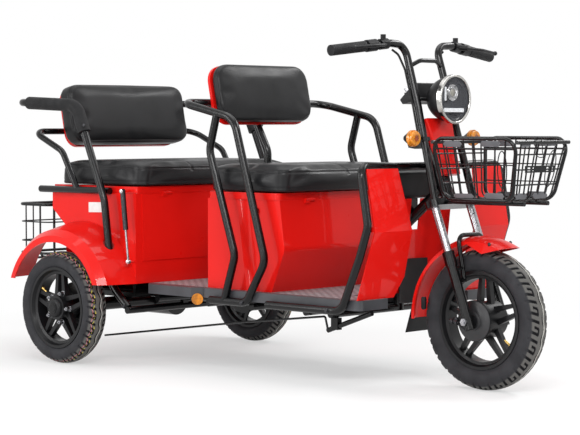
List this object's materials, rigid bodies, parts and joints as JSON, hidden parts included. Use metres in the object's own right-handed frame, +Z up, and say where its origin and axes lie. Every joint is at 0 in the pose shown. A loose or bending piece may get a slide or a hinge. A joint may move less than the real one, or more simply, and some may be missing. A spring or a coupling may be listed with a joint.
{
  "type": "electric passenger tricycle",
  "caption": "Three-wheeled electric runabout with a lockable driver's seat box, a rear bench over a storage box, wire baskets and tubular hand rails.",
  "frame": {"origin": "on the ground under the middle of the vehicle's box", "axes": "forward is -Y, the vehicle's right is -X, +Z up"},
  "size_m": [1.036, 2.168, 1.1064],
  "materials": {
    "red_paint": "gloss",
    "black_tube": "gloss",
    "vinyl": "satin vinyl",
    "black_plastic": "matte",
    "floor_plastic": "matte",
    "tyre": "matte",
    "alloy": "satin",
    "chrome": "polished",
    "lens": "clear",
    "amber": "gloss",
    "red_lens": "gloss",
    "steel": "satin"
  },
  "bodies": {
    "chassis": {"chassis_frame": "black_tube", "rear_axle": "black_tube", "leaf_springs": "black_tube", "brake_linkage": "black_tube", "battery_pack": "black_plastic", "front_floor": "floor_plastic", "rear_floor": "floor_plastic", "leg_shield": "red_paint", "front_apron": "red_paint", "wheel_arch_liner": "black_plastic", "glove_box": "black_plastic", "driver_seat_box": "red_paint", "seat_lock": "black_plastic", "driver_backrest": "vinyl", "driver_backrest_shell": "red_paint", "driver_backrest_post": "black_tube", "driver_hoops": "black_tube", "front_guard": "black_tube", "rear_hoops": "black_tube", "rear_braces": "black_tube", "rear_box": "red_paint", "rear_backrest": "vinyl", "rear_backrest_shell": "red_paint", "armrest_pads": "black_plastic", "rear_fenders": "red_paint", "rear_basket": "black_tube", "tail_lamps": "red_lens", "side_reflectors": "amber"},
    "steering": {"fork_sliders": "black_tube", "fork_stanchions": "chrome", "fork_crown": "black_tube", "front_brake": "alloy", "front_axle_bolt": "steel", "handlebar": "black_tube", "handlebar_grips": "black_plastic", "hand_controls": "black_plastic", "control_cables": "black_plastic", "dashboard": "black_plastic", "headlight_bowl": "black_plastic", "headlight_ring": "chrome", "headlight_lens": "lens", "nose_fairing": "red_paint", "turn_signals": "amber", "turn_signal_stalks": "black_plastic", "front_fender": "red_paint", "front_mudflap": "black_plastic", "front_basket": "black_tube"},
    "front_wheel": {"front_tyre": "tyre", "front_rim": "alloy"},
    "rear_wheel_right": {"rear_right_tyre": "tyre", "rear_right_rim": "alloy"},
    "rear_wheel_left": {"rear_left_tyre": "tyre", "rear_left_rim": "alloy"},
    "driver_seat": {"driver_seat_lid": "red_paint", "driver_cushion": "vinyl"},
    "rear_seat": {"rear_seat_lid": "red_paint", "rear_cushion": "vinyl"},
    "strut_cylinders": {"gas_strut_cylinders": "black_tube"},
    "strut_rods": {"gas_strut_rods": "steel"}
  },
  "joints": [
    {"name": "steering", "type": "hinge", "parent": "chassis", "child": "steering", "pos_m": [0, -0.74754, 0.49745], "axis": [0, 0.3535, 0.9354], "range_deg": [-35, 35]},
    {"name": "front_wheel_spin", "type": "hinge", "parent": "steering", "child": "front_wheel", "pos_m": [0, -0.862, 0.22], "axis": [1, 0, 0], "continuous": true},
    {"name": "rear_right_wheel_spin", "type": "hinge", "parent": "chassis", "child": "rear_wheel_right", "pos_m": [-0.468, 0.614, 0.194], "axis": [1, 0, 0], "continuous": true},
    {"name": "rear_left_wheel_spin", "type": "hinge", "parent": "chassis", "child": "rear_wheel_left", "pos_m": [0.468, 0.614, 0.194], "axis": [1, 0, 0], "continuous": true},
    {"name": "driver_seat_hinge", "type": "hinge", "parent": "chassis", "child": "driver_seat", "pos_m": [0, -0.273, 0.5833], "axis": [1, 0, 0], "range_deg": [0, 75]},
    {"name": "rear_seat_hinge", "type": "hinge", "parent": "chassis", "child": "rear_seat", "pos_m": [0, 0.332, 0.5923], "axis": [1, 0, 0], "range_deg": [0, 70]},
    {"name": "strut_pivot", "type": "hinge", "parent": "rear_seat", "child": "strut_cylinders", "pos_m": [0, 0.372, 0.6], "axis": [1, 0, 0], "range_deg": [-85, 5]},
    {"name": "strut_slide", "type": "slide", "parent": "strut_cylinders", "child": "strut_rods", "axis": [0, 0.1123, 0.9937], "range_m": [-0.04, 0.002]}
  ],
  "couplings": [
    {"joint": "strut_pivot", "follows": "rear_seat_hinge", "ratio": -0.8882},
    {"joint": "strut_slide", "follows": "rear_seat_hinge", "m_per_rad": -0.02544}
  ]
}
